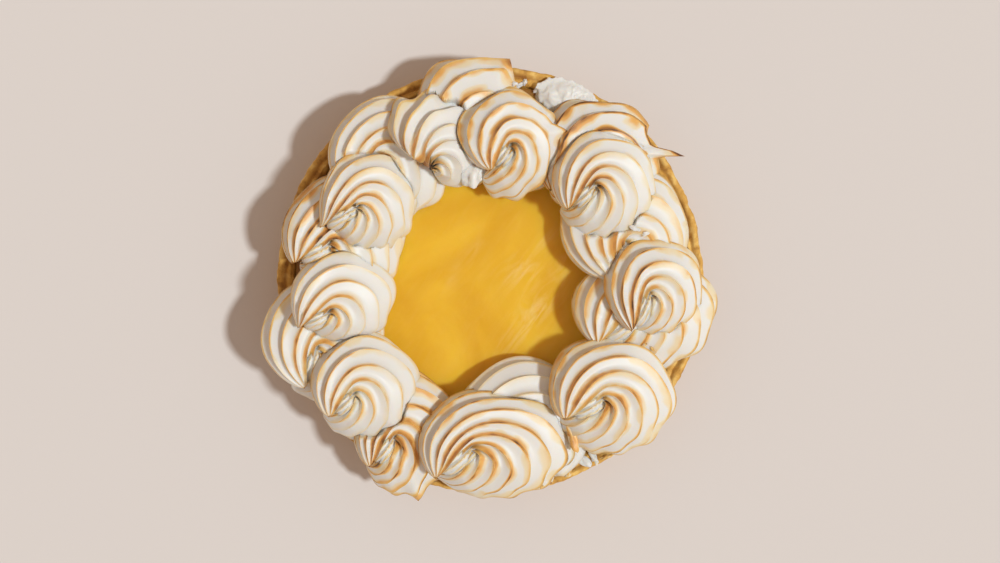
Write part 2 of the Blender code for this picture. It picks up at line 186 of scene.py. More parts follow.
def makeGrainGroup():
    # fine and coarse noise on the piece's own coordinates, for colour and for relief
    group, start, end = newGroup("fineGrain", (
        ("Coarse Scale", "NodeSocketFloat", 60.0),
        ("Fine Scale", "NodeSocketFloat", 900.0),
        ("Fine Share", "NodeSocketFloat", 0.4),
    ), (("Coarse", "NodeSocketFloat"), ("Height", "NodeSocketFloat")))
    where = addNode(group, "ShaderNodeTexCoord")
    coarse = addNode(group, "ShaderNodeTexNoise")
    fine = addNode(group, "ShaderNodeTexNoise")
    for texture, label, detail in ((coarse, "Coarse Scale", 3.0), (fine, "Fine Scale", 4.0)):
        texture.inputs["Detail"].default_value = detail
        group.links.new(where.outputs["Object"], texture.inputs["Vector"])
        group.links.new(start.outputs[label], texture.inputs["Scale"])
    share = calc(group, "MULTIPLY", fine.outputs["Fac"], start.outputs["Fine Share"])
    height = calc(group, "ADD", coarse.outputs["Fac"], share)
    group.links.new(coarse.outputs["Fac"], end.inputs["Coarse"])
    group.links.new(height, end.inputs["Height"])
    return group


grainGroup = makeGrainGroup()


def newMaterial(name, roughness, **constants):
    material = bpy.data.materials.new(name)
    material.use_nodes = True
    shader = material.node_tree.nodes["Principled BSDF"]
    shader.inputs["Roughness"].default_value = roughness
    for label, value in constants.items():
        shader.inputs[label.replace("_", " ")].default_value = value
    return material, material.node_tree, shader


def placeGrain(tree, coarse, fine, fineShare):
    # the shared grain, with how many coarse and fine specks come in a metre
    node = addNode(tree, "ShaderNodeGroup")
    node.node_tree = grainGroup
    node.inputs["Coarse Scale"].default_value = coarse
    node.inputs["Fine Scale"].default_value = fine
    node.inputs["Fine Share"].default_value = fineShare
    return node


def placeNoise(tree, vector, **settings):
    # a noise texture of its own, with its inputs by name
    node = addNode(tree, "ShaderNodeTexNoise")
    for label, value in settings.items():
        node.inputs[label].default_value = value
    tree.links.new(vector, node.inputs["Vector"])
    return node.outputs["Fac"]


def addDepth(shader, weight, radius, scale):
    # light that goes in and comes out again close by
    shader.inputs["Subsurface Weight"].default_value = weight
    shader.inputs["Subsurface Radius"].default_value = radius
    shader.inputs["Subsurface Scale"].default_value = scale


def addBump(tree, shader, height, strength, distance):
    bump = addNode(tree, "ShaderNodeBump")
    bump.inputs["Strength"].default_value = strength
    bump.inputs["Distance"].default_value = distance
    tree.links.new(height, bump.inputs["Height"])
    tree.links.new(bump.outputs["Normal"], shader.inputs["Normal"])


meringueLook = {
    "white": (0.790, 0.770, 0.730),
    "cream": (0.820, 0.690, 0.470),
    "caramel": (0.790, 0.430, 0.120),
    "brown": (0.460, 0.195, 0.040),
    "burnt": (0.060, 0.022, 0.008),
    "roughness": 0.46,
    "depth": (0.55, (1.0, 0.8, 0.6), 0.004),
    "grain": (130.0, 1500.0, 0.25),
    "unevenHeat": 0.5,
    "relief": (0.20, 0.0004),
}


def makeMeringueMaterial():
    look = meringueLook
    material, tree, shader = newMaterial("toastedMeringue", look["roughness"])
    addDepth(shader, *look["depth"])
    toast = addNode(tree, "ShaderNodeAttribute", attribute_name="toast")
    grain = placeGrain(tree, *look["grain"])
    centred = calc(tree, "SUBTRACT", grain.outputs["Coarse"], 0.5)
    uneven = calc(tree, "MULTIPLY", centred, look["unevenHeat"])
    heat = calc(tree, "MULTIPLY", toast.outputs["Fac"], calc(tree, "ADD", uneven, 1.0), clamp=True)
    colour = ramp(tree, heat, (
        (0.05, look["white"]),
        (0.26, look["cream"]),
        (0.52, look["caramel"]),
        (0.80, look["brown"]),
        (1.0, look["burnt"]),
    ))
    tree.links.new(colour, shader.inputs["Base Color"])
    addBump(tree, shader, grain.outputs["Height"], *look["relief"])
    return material


meringue = makeMeringueMaterial()


# Each rosette is one rope from a star nozzle, swept round its eye and folded over to its tip.
rope = {
    "teeth": 11,
    "pointsPerTooth": 14,
    "steps": 168,
    "endCrowding": 0.35,        # how much closer the steps stand at both ends
    "ridgeDepth": 0.19,
    "ridgeVariety": 0.22,       # how much one ridge's depth differs from the next
    "ridgeSharpness": 0.80,     # under 1 gives thin crests and round valleys
    "ridgeLean": 0.62,          # under 1 puts each valley close behind the crest inside it
    "crestCrowding": 0.55,      # how much closer the points stand at the crests
    "totalTurn": 352.0,
    "turnAngle": -50.0,
    "foldAngle": 95.0,
    "rollPerDegree": 0.42,
    "startRoll": 0.0048,
    "rollShift": 0.0,
    "eyeGap": 0.02,
    "startInnerShare": 0.72,
    "startTuck": 0.16,
    "startSlimness": 0.25,
    "innerCurve": 1.25,         # the higher a curve or climb, the later it leaves for the tip
    "outerCurve": 4.5,
    "innerClimb": 1.6,
    "outerClimb": 2.8,
    "eyeHeight": (0.66, 0.80),
    "startSink": 0.04,
    "eyeFullness": 0.55,        # how level the rope's top stays towards the eye
    "outerHeight": 0.20,
    "outerRise": 0.14,
    "riseFrom": 0.3,
    "riseOver": 0.6,
    "halfHeight": 0.52,
    "undersideDrop": 1.3,
    "fullWidth": 0.8,
    "tipHeight": 0.80,
    "startRounding": 0.10,
    "endRounding": 0.03,
    "lobes": 0.12,              # how much further out it reaches at a crest than between two
    "handWobble": 0.35 * mm,
    "handLength": 14 * mm,
    "handAside": 0.6,
    "evenTorch": 0.45,          # how much of the side away from the flame browned as well
    "eyeClosed": True,
}

# the soft fold that fills an eye, in half sizes and in shares of the way from eye to tip
eyeFold = {
    "along": 0.30,
    "aside": 0.03,
    "length": 1.05,
    "halfWidth": 0.20,
    "height": 0.58,
    "halfHeight": 0.45,
    "ridges": 4.6,              # half waves from its middle to its side
    "ridgeHeight": 0.16,
    "bow": 0.18,
    "toast": 0.42,
}

# how what lies under another rosette dips beneath its edge
press = {
    "from": 0.78,
    "over": 0.20,
    "rise": 0.021,
    "gap": 0.5 * mm,            # between the tiers
}

# What single rosettes have of their own. A tail is its angle, reach, half width, height and
# sideways lean. A wiped edge is its place in millimetres, its slope and how much went with it.
ownWay = {
    "rosette_upper_1": {"rollPerDegree": 0.58},
    "rosette_upper_2": {"teeth": 10, "totalTurn": 243.0, "ridgeDepth": 0.32, "rollPerDegree": 0.95,
                        "rollShift": -8.0, "lobes": 0.22, "foldAngle": 118.0, "evenTorch": 0.0,
                        "eyeClosed": False},
    "rosette_upper_3": {"totalTurn": 322.0, "evenTorch": 0.85, "lobes": 0.18,
                        "tails": ((14.0, 0.27, 15.0, 0.35, -3.0), (36.0, 0.06, 14.0, 0.35, -3.0))},
    "rosette_upper_4": {"rollPerDegree": 0.50},
    "rosette_upper_5": {"foldAngle": 115.0, "evenTorch": 0.8},
    "rosette_upper_6": {"teeth": 12, "evenTorch": 0.8},
    "rosette_upper_7": {"teeth": 13, "evenTorch": 0.9},
    "rosette_lower_3": {"teeth": 9, "rollPerDegree": 0.60, "rollShift": 6.0, "evenTorch": 0.8,
                        "wiped": (12.2, 110.0, 0.23, 0.96),
                        "tails": ((53.0, 0.16, 18.0, 0.30, 0.0),)},
    "rosette_lower_4": {"teeth": 9, "rollPerDegree": 0.62, "lobes": 0.20, "evenTorch": 1.0,
                        "tails": ((7.0, 0.62, 7.0, 0.32, -6.0), (35.0, 0.07, 12.0, 0.32, -3.0))},
    "rosette_lower_5": {"evenTorch": 0.95, "halfHeight": 0.45},
    "rosette_lower_6": {"evenTorch": 0.95, "halfHeight": 0.45},
    "rosette_lower_7": {"halfHeight": 0.45,
                        "tails": ((-56.0, 0.14, 18.0, 0.25, -3.0), (-68.0, 0.14, 5.0, 0.25, -3.0))},
    "rosette_lower_8": {"evenTorch": 0.9, "tails": ((-77.0, 0.12, 14.0, 0.30, 0.0),)},
    "rosette_lower_9": {"evenTorch": 0.5},
}

# the height that a tier rests on, and how far its rosettes' full height of 1 rises above it
tiers = {
    "upper": {"base": 0.0335, "rise": 0.0290},
    "lower": {"base": 0.0255, "rise": 0.0262},
}

# past this radius nothing of a lower rosette goes below this height, where the crust's rim is
rimRoom = {"radius": 0.1050, "height": 0.0288}

# which rosettes of the same tier lie over which
liesUnder = {
    "rosette_upper_1": ("rosette_upper_2", "rosette_upper_9"),
    "rosette_upper_2": ("rosette_upper_3",),
    "rosette_upper_3": ("rosette_upper_4",),
    "rosette_upper_5": ("rosette_upper_6",),
    "rosette_upper_7": ("rosette_upper_6",),
    "rosette_upper_9": ("rosette_upper_8",),
    "rosette_lower_1": ("rosette_lower_9",),
    "rosette_lower_2": ("rosette_lower_1",),
    "rosette_lower_3": ("rosette_lower_2",),
    "rosette_lower_5": ("rosette_lower_4",),
    "rosette_lower_6": ("rosette_lower_5",),
    "rosette_lower_8": ("rosette_lower_7",),
    "rosette_lower_9": ("rosette_lower_8",),
}

# centre and half sizes in millimetres, eye and tip in half sizes, the angle of the fold,
# and how strongly the crests and the slopes were torched
rosettes = {
    "rosette_upper_1": ((-63.9, 41.8), (25.6, 27.4), (-0.23, -0.19), (-0.97, -0.56), 208, 1.15, 0.90),
    "rosette_upper_2": ((-32.5, 71.4), (27.5, 27.5), (0.06, -0.51), (-0.23, -0.35), 172, 0.95, 0.60),
    "rosette_upper_3": ((8.0, 71.3), (30.0, 29.3), (0.06, -0.10), (-0.25, -0.52), 202, 1.02, 1.15),
    "rosette_upper_4": ((58.4, 50.0), (29.2, 29.8), (-0.17, -0.06), (-0.62, -0.47), 205, 1.10, 0.75),
    "rosette_upper_5": ((84.8, -3.6), (27.8, 26.8), (-0.10, -0.18), (-0.40, -0.88), 232, 1.15, 1.05),
    "rosette_upper_6": ((62.2, -60.4), (35.2, 31.6), (-0.14, -0.05), (-0.67, -0.38), 202, 1.05, 0.95),
    "rosette_upper_7": ((2.0, -85.9), (42.2, 29.2), (-0.30, -0.06), (-0.72, -0.60), 212, 1.10, 0.90),
    "rosette_upper_8": ((-67.0, -55.7), (29.4, 28.6), (-0.13, -0.14), (-0.55, -0.55), 207, 1.05, 0.65),
    "rosette_upper_9": ((-77.8, -8.7), (27.6, 25.2), (-0.22, -0.35), (-0.80, -0.66), 210, 0.95, 0.50),
    "rosette_lower_1": ((-78.2, 22.8), (33.4, 33.0), (-0.20, -0.16), (-0.73, -0.42), 216, 1.25, 1.15),
    "rosette_lower_2": ((-53.3, 64.7), (33.9, 32.6), (-0.18, -0.08), (-0.70, -0.55), 212, 0.90, 0.55),
    "rosette_lower_3": ((-11.0, 84.8), (32.0, 34.8), (-0.10, -0.30), (-0.60, -0.66), 215, 1.15, 1.15),
    "rosette_lower_4": ((55.2, 64.2), (33.6, 32.6), (-0.18, -0.08), (-0.70, -0.55), 212, 1.35, 1.50),
    "rosette_lower_5": ((69.6, 27.6), (36.0, 33.4), (0.05, -0.30), (-0.08, -0.88), 250, 0.80, 0.85),
    "rosette_lower_6": ((80.6, -16.4), (39.9, 32.0), (-0.12, -0.08), (-0.62, -0.55), 212, 0.95, 0.90),
    "rosette_lower_7": ((18.2, -74.2), (38.0, 33.0), (-0.18, -0.08), (-0.70, -0.55), 212, 0.50, 0.30),
    "rosette_lower_8": ((-45.8, -80.6), (28.8, 34.0), (-0.18, -0.08), (-0.60, -0.52), 212, 1.20, 1.30),
    "rosette_lower_9": ((-90.0, -32.3), (34.5, 32.0), (-0.02, -0.16), (-0.19, -0.78), 228, 0.90, 0.50),
}


def ropeSection(own, turn, eye, tip, leaveAngle):
    # the middle, half width, heights, size and roll of the rope at one point of its turn
    startAngle = leaveAngle - own["totalTurn"]
    angle = startAngle + own["totalTurn"] * turn
    startShare = max(0.0, (own["turnAngle"] - angle) / (own["turnAngle"] - startAngle))
    fold = max(0.0, (angle - own["foldAngle"]) / (leaveAngle - own["foldAngle"]))
    outline = unit(angle)
    fromEye = outline - eye
    inner = eye + fromEye / np.linalg.norm(fromEye) * own["eyeGap"]
    toTip = tip - eye
    aside = np.array((toTip[1], -toTip[0])) / np.linalg.norm(toTip)
    underFold = eye + toTip * own["startInnerShare"] + aside * own["startTuck"]
    inner = inner + (underFold - inner) * startShare ** own["innerCurve"]
    inner = inner + (tip - inner) * fold ** own["innerCurve"]
    outer = outline + (tip - outline) * fold ** own["outerCurve"]
    width = np.linalg.norm(outer - inner)
    low, high = own["eyeHeight"]
    innerHeight = low + (high - low) * turn - own["startSink"] * startShare
    innerHeight += (own["tipHeight"] - innerHeight) * fold ** own["innerClimb"]
    outerHeight = own["outerHeight"]
    outerHeight += own["outerRise"] * softStep((turn - own["riseFrom"]) / own["riseOver"])
    outerHeight += (own["tipHeight"] - outerHeight) * fold ** own["outerClimb"]
    halfHeight = own["halfHeight"] * min(1.0, (width / own["fullWidth"]) ** 0.75)
    halfHeight *= 1.0 - own["startSlimness"] * startShare
    early = min(1.0, turn / own["startRounding"])
    size = math.sqrt(1.0 - (1.0 - early) ** 2)
    size *= 1.0 - softStep((turn - 1.0 + own["endRounding"]) / own["endRounding"])
    roll = own["rollPerDegree"] * (leaveAngle - angle) + own["startRoll"] * max(0.0, -angle) ** 2
    roll += own["rollShift"]
    return inner, outer, innerHeight, outerHeight, halfHeight * size, size, math.radians(roll)


def ropeSkin(own, eye, tip, leaveAngle, toothSeed):
    # points of the whole rope, steps x around, and per point around it how near a crest it is
    # and its share of the way from one crest to the next
    teeth = own["teeth"]
    perTooth = own["pointsPerTooth"]
    around = np.arange(teeth * perTooth) / perTooth
    tooth = np.floor(around)
    share = around - tooth
    share = share - own["crestCrowding"] * np.sin(2 * math.pi * share) / (2 * math.pi)
    psi = (tooth + share) * 2 * math.pi / teeth
    valley = np.abs(np.sin(math.pi * share ** own["ridgeLean"]))
    depth = own["ridgeDepth"] * (1.0 + own["ridgeVariety"] * np.sin(tooth * 2.4 + toothSeed))
    spread = 1.0 - depth * valley ** own["ridgeSharpness"]
    skin = np.zeros((own["steps"], len(psi), 3))
    for step in range(own["steps"]):
        turn = step / (own["steps"] - 1)
        turn = turn - own["endCrowding"] * math.sin(2 * math.pi * turn) / (2 * math.pi)
        inner, outer, innerHeight, outerHeight, halfHeight, size, roll = ropeSection(
            own, turn, eye, tip, leaveAngle)
        across = np.cos(psi + roll)
        up = np.sin(psi + roll)
        level = 1.0 - own["eyeFullness"] * np.clip(across, 0.0, 1.0)
        up = np.where(up > 0.0, np.abs(up) ** level, up)
        leaving = 0.5 + 0.5 * math.cos(teeth * (math.pi - roll))
        lobed = across * (1.0 - own["lobes"] * (leaving - 0.5) * across)
        across = np.where(across < 0.0, lobed, across) * spread
        up = up * spread
        up = np.where(up < 0.0, up * (1.0 + own["undersideDrop"] * (1.0 + across) / 2), up)
        middle = (inner + outer) / 2
        reach = (inner - outer) / 2 * size
        skin[step, :, 0] = middle[0] + reach[0] * across
        skin[step, :, 1] = middle[1] + reach[1] * across
        lean = (innerHeight - outerHeight) / 2 * size
        skin[step, :, 2] = (innerHeight + outerHeight) / 2 + lean * across + halfHeight * up
    return skin, 1.0 - valley, share


def rollGrid(name, rows, columns):
    # a flat grid whose columns go round the rope and whose rows go along it
    deselectAll()
    bpy.ops.mesh.primitive_grid_add(x_subdivisions=columns, y_subdivisions=rows - 1, size=2)
    grid = bpy.context.object
    grid.name = name
    grid.data.name = name
    while grid.data.uv_layers:
        grid.data.uv_layers.remove(grid.data.uv_layers[0])
    flat = getPoints(grid)
    column = np.rint((flat[:, 0] + 1) / 2 * columns).astype(int) % columns
    row = np.rint((flat[:, 1] + 1) / 2 * (rows - 1)).astype(int)
    return grid, row, column


def closeAndCut(piece, height):
    # merges the seam and both ends, and cuts the piece flat where it rests
    pick(piece)
    bpy.ops.object.mode_set(mode="EDIT")
    bpy.ops.mesh.select_all(action="SELECT")
    bpy.ops.mesh.remove_doubles(threshold=0.000002)
    bpy.ops.mesh.normals_make_consistent(inside=False)
    bpy.ops.mesh.select_all(action="SELECT")
    bpy.ops.mesh.bisect(plane_co=(0, 0, height), plane_no=(0, 0, 1), use_fill=True, clear_inner=True)
    bpy.ops.object.mode_set(mode="OBJECT")


torchLook = {
    "side": (-0.75, 0.66),      # towards the flame, seen from above
    "from": (-0.62, 0.62, 0.48),
    "patches": 12 * mm,
    "specks": 4 * mm,
    # how much of a rosette browned: everywhere, more on the flame's side, in patches, near the eye
    "region": (0.58, 0.62, 0.42, 0.5),
    # widths of the brown lines outside a crest and inside it, in shares of a tooth, and the
    # least width of a brown slope with what it gains outside and inside
    "lineWidth": (0.20, 0.12),
    "slopeWidth": (0.08, 0.40, 0.50),
    "leastLine": 0.10,
    "leastSlope": 0.20,
    "facingHeat": 0.40,
    "slopeHeat": 0.80,
    # radius and heat of the burnt tip and of the glow round it
    "tip": (2.4 * mm, 0.75),
    "glow": (9 * mm, 0.22),
    "tailHeat": 0.6,
}


def torch(piece, crestHeat, slopeHeat, tipPlace, eyePlace, seed, even):
    # browns the crests and one side of each ridge in patches, and burns the tip and the tails
    look = torchLook
    points = getPoints(piece)
    normals = getNormals(piece)
    crest = readPaint(piece, "crest")
    side = readPaint(piece, "side")
    pulled = readPaint(piece, "pulled")
    facing = normals @ np.array(look["from"])
    patchy = wobble(points, look["patches"], seed)
    fine = wobble(points, look["specks"], seed + 3.0)
    centre = points.mean(axis=0)
    half = np.abs(points - centre).max(axis=0)
    aside = ((points - centre) / half)[:, :2] @ np.array(look["side"])
    fromEye = np.hypot(points[:, 0] - eyePlace[0], points[:, 1] - eyePlace[1]) / half[0]
    everywhere, bySide, byPatch, byEye = look["region"]
    region = softStep(everywhere + bySide * aside + byPatch * patchy + byEye * (0.5 - fromEye))
    region = np.maximum(region, even * softStep(0.8 + 0.8 * patchy))
    outside, inside = look["lineWidth"]
    band = np.maximum(fade(side, outside), fade(1.0 - side, inside)) ** 0.7
    line = band * (look["leastLine"] + (1.0 - look["leastLine"]) * region) * crestHeat
    line = line * (0.80 + 0.24 * fine + 0.14 * patchy)
    patch = softStep(0.50 + 1.4 * patchy)
    narrow, outside, inside = look["slopeWidth"]
    behind = fade(side, narrow + outside * patch) ** 0.7 * (0.25 + 0.60 * patch)
    before = fade(1.0 - side, narrow + inside * (1.0 - patch)) * (0.95 - 0.70 * patch)
    browned = np.maximum(behind, before) * (look["leastSlope"] + (1.0 - look["leastSlope"]) * region)
    slope = softStep((facing - 0.48) / 0.34) * crest ** 0.4 * softStep(0.35 + 1.1 * patchy)
    slope = np.maximum(slope * look["facingHeat"], browned)
    slope = slope * softStep(normals[:, 2] / 0.35) * slopeHeat * look["slopeHeat"]
    away = np.linalg.norm(points - tipPlace, axis=1)
    burnt = sum(heat * softStep(1.0 - away / radius) for radius, heat in (look["tip"], look["glow"]))
    burnt = burnt + look["tailHeat"] * softStep((pulled - 0.25) / 0.6) * (0.7 + 0.5 * fine)
    paint(piece, "toast", np.clip(np.maximum(line, slope) + burnt * crestHeat, 0.0, 1.0))


def closeEye(piece, centre, half, eye, tip, tier, crestHeat):
    # a soft ridged fold of meringue that fills the eye, joined to its rosette
    toTip = tip - eye
    length = np.linalg.norm(toTip)
    forward = toTip / length
    aside = np.array((-forward[1], forward[0]))
    deselectAll()
    bpy.ops.mesh.primitive_ico_sphere_add(subdivisions=4, radius=1)
    fold = bpy.context.object
    ball = getPoints(fold)
    middle = eye + toTip * eyeFold["along"] + aside * eyeFold["aside"]
    long = ball[:, 0] * (length * 0.5 * eyeFold["length"])
    wide = ball[:, 1] * eyeFold["halfWidth"]
    flat = middle[None, :] + long[:, None] * forward[None, :] + wide[:, None] * aside[None, :]
    bowed = ball[:, 1] + eyeFold["bow"] * ball[:, 0] ** 2
    wave = 0.5 + 0.5 * np.cos(math.pi * eyeFold["ridges"] * bowed)
    tall = ball[:, 2] * (1.0 + eyeFold["ridgeHeight"] * (wave ** 1.5 - 0.5))
    points = np.empty_like(ball)
    points[:, 0] = (centre[0] + half[0] * flat[:, 0]) * mm
    points[:, 1] = (centre[1] + half[1] * flat[:, 1]) * mm
    points[:, 2] = tier["base"] + tier["rise"] * (eyeFold["height"] + eyeFold["halfHeight"] * tall)
    setPoints(fold, points)
    for name in ("crest", "side", "pulled"):
        paint(fold, name, np.zeros(len(points)))
    paint(fold, "toast", eyeFold["toast"] * crestHeat * softStep((wave - 0.55) / 0.45))
    pick(piece)
    fold.select_set(True)
    bpy.ops.object.join()


def pullTails(placed, tails):
    # draws the outline out to thin tails, and says how much each point was pulled
    turned = np.degrees(np.arctan2(placed[:, 1], placed[:, 0]))
    reach = np.hypot(placed[:, 0], placed[:, 1])
    outer = softStep((reach - 0.5) / 0.45)
    pulled = np.zeros(len(placed))
    for angle, pull, width, height, lean in tails:
        near = fade(np.abs((turned - angle + 180.0) % 360.0 - 180.0), width) ** 2
        near = near * outer * fade(np.abs(placed[:, 2] - height), 0.45) ** 0.5
        bent = np.radians(turned + lean * near)
        long = reach * (1.0 + pull * near)
        placed[:, 0] = np.where(near > 0.0, long * np.cos(bent), placed[:, 0])
        placed[:, 1] = np.where(near > 0.0, long * np.sin(bent), placed[:, 1])
        pulled = np.maximum(pulled, near * min(1.0, pull / 0.16))
    return pulled


def getTier(name):
    return tiers["upper" if "upper" in name else "lower"]


# how many directions a rosette's reach is measured in
reachCount = 72


def findReach(skin):
    # how far a rosette reaches out in every direction, in half sizes
    flat = skin.reshape(-1, 3)
    turned = np.degrees(np.arctan2(flat[:, 1], flat[:, 0]))
    direction = np.floor(turned / (360.0 / reachCount)).astype(int) % reachCount
    reach = np.zeros(reachCount)
    np.maximum.at(reach, direction, np.hypot(flat[:, 0], flat[:, 1]))
    return reach


def pressUnder(points, name, reaches):
    # lowers what other rosettes cover, so that their own edges show whole
    tier = getTier(name)
    directions = (np.arange(reachCount) + 0.5) * 360.0 / reachCount
    above = list(liesUnder.get(name, ()))
    if tier is tiers["lower"]:
        above = [other for other in rosettes if getTier(other) is tiers["upper"]] + above
    for other in above:
        centre, half = rosettes[other][:2]
        x = (points[:, 0] / mm - centre[0]) / half[0]
        y = (points[:, 1] / mm - centre[1]) / half[1]
        angle = np.degrees(np.arctan2(y, x))
        near = np.hypot(x, y) / np.interp(angle, directions, reaches[other], period=360.0)
        base = getTier(other)["base"] - (0.0 if getTier(other) is tier else press["gap"])
        room = base + press["rise"] * softStep((near - press["from"]) / press["over"])
        covered = near < press["from"] + press["over"]
        points[:, 2] = np.where(covered, np.minimum(points[:, 2], room), points[:, 2])


def pipeRosette(name, number, skins, reaches):
    tier = getTier(name)
    centre, half, eye, tip, leaveAngle, crestHeat, slopeHeat = rosettes[name]
    own = {**rope, **ownWay.get(name, {})}
    skin, crest, share = skins[name]
    piece, row, column = rollGrid(name.replace("rosette", "piped"), rope["steps"], skin.shape[1])
    placed = skin[row, column]
    pulled = pullTails(placed, own.get("tails", ()))
    points = np.empty_like(placed)
    points[:, 0] = (centre[0] + half[0] * placed[:, 0]) * mm
    points[:, 1] = (centre[1] + half[1] * placed[:, 1]) * mm
    points[:, 2] = tier["base"] + tier["rise"] * placed[:, 2]
    drift = rope["handWobble"] * wobble(points, rope["handLength"], number)
    points[:, 2] += drift
    points[:, 0] += drift * rope["handAside"]
    pressUnder(points, name, reaches)
    crust = np.hypot(points[:, 0], points[:, 1]) > rimRoom["radius"]
    points[:, 2] = np.where(crust, np.maximum(points[:, 2], rimRoom["height"]), points[:, 2])
    if "wiped" in own:
        x, y, steepness, amount = own["wiped"]
        past = points[:, 0] - x * mm + steepness * (points[:, 1] - y * mm)
        points[:, 0] -= amount * np.maximum(past, 0.0)
    setPoints(piece, points)
    paint(piece, "crest", crest[column])
    paint(piece, "side", share[column])
    paint(piece, "pulled", pulled)
    closeAndCut(piece, tier["base"])
    tipPlace = np.array(((centre[0] + half[0] * tip[0]) * mm, (centre[1] + half[1] * tip[1]) * mm,
                         tier["base"] + tier["rise"] * rope["tipHeight"]))
    eyePlace = ((centre[0] + half[0] * eye[0]) * mm, (centre[1] + half[1] * eye[1]) * mm)
    torch(piece, crestHeat, slopeHeat, tipPlace, eyePlace, number * 5.3, own["evenTorch"])
    if own["eyeClosed"]:
        closeEye(piece, centre, half, np.array(eye), np.array(tip), tier, crestHeat)
    finishPiece(piece, meringue, [name])


skins = {}
reaches = {}
for number, name in enumerate(rosettes):
    eye, tip, leaveAngle = rosettes[name][2:5]
    skins[name] = ropeSkin({**rope, **ownWay.get(name, {})}, np.array(eye), np.array(tip), leaveAngle,
                           (number + 1) * 1.9)
    reaches[name] = findReach(skins[name][0])
for number, name in enumerate(rosettes):
    pipeRosette(name, number + 1, skins, reaches)
print("rosettes piped:", len(rosettes))


crustLook = {
    "points": 480,
    "foot": 0.0985,
    "rim": 0.1140,
    "height": 0.0274,
    "rimThickness": 0.0085,
    "wall": 0.0070,
    "floor": 0.0040,
    "unevenness": 0.0007,
    "lumps": 0.0011,
    "flakes": 0.00035,
    "evenBelow": 0.010,
    "shade": (0.440, 0.205, 0.032),
    "gold": (0.690, 0.370, 0.070),
    "pale": (0.870, 0.560, 0.160),
    # dark brown, mixed in for random baked patches and as painted shade in the rim's groove
    "baked": (0.300, 0.110, 0.020),
    "roughness": 0.72,
    "grain": (190.0, 1400.0, 0.5),
    "relief": (0.9, 0.0006),
}


def crustWave(angle):
    # how uneven the rim is at an angle, from how often each wave comes, where and how high
    waves = ((3, 0.7, 0.34), (7, 2.1, 0.27), (13, 4.4, 0.22), (29, 1.3, 0.17))
    return sum(size * np.sin(count * angle + phase) for count, phase, size in waves)


def crustProfile():
    # from the foot's edge up the outside, over the double rim and down the inside
    look = crustLook
    inner = look["rim"] - look["rimThickness"]
    corners = (
        (look["foot"] + 0.0012, 0.0006),
        (look["foot"] + 0.0022, 0.0024),
        (look["rim"] - 0.0014, look["height"] - 0.0058),
        (look["rim"] - 0.0002, look["height"] - 0.0030),
        (look["rim"], look["height"] - 0.0016),
        (look["rim"] - 0.0008, look["height"] - 0.0003),
        (look["rim"] - 0.0022, look["height"]),
        (look["rim"] - 0.0033, look["height"] - 0.0005),
        (inner + 0.0034, look["height"] - 0.0016),
        (inner + 0.0027, look["height"] - 0.0009),
        (inner + 0.0016, look["height"] - 0.0007),
        (inner, 0.0252),
        (inner - 0.0016, 0.0212),
        (look["foot"] - look["wall"] + 0.0020, look["floor"] + 0.0012),
        (look["foot"] - look["wall"], look["floor"]),
    )
    profile = [corners[0]]
    for (r0, z0), (r1, z1) in zip(corners, corners[1:]):
        pieces = max(1, round(math.hypot(r1 - r0, z1 - z0) / (0.9 * mm)))
        for part in range(1, pieces + 1):
            share = part / pieces
            profile.append((r0 + (r1 - r0) * share, z0 + (z1 - z0) * share))
    return profile


def makeCrustMaterial():
    look = crustLook
    material, tree, shader = newMaterial("bakedPastry", look["roughness"])
    grain = placeGrain(tree, *look["grain"])
    colour = ramp(tree, grain.outputs["Coarse"], (
        (0.30, look["shade"]),
        (0.48, look["gold"]),
        (0.66, look["pale"]),
    ))
    # darker in random baked patches, and painted shade along the groove of the double rim
    bake = addNode(tree, "ShaderNodeAttribute", attribute_name="bake")
    colour = mixColour(tree, bake.outputs["Fac"], colour, look["baked"])
    tree.links.new(colour, shader.inputs["Base Color"])
    addBump(tree, shader, grain.outputs["Height"], *look["relief"])
    return material


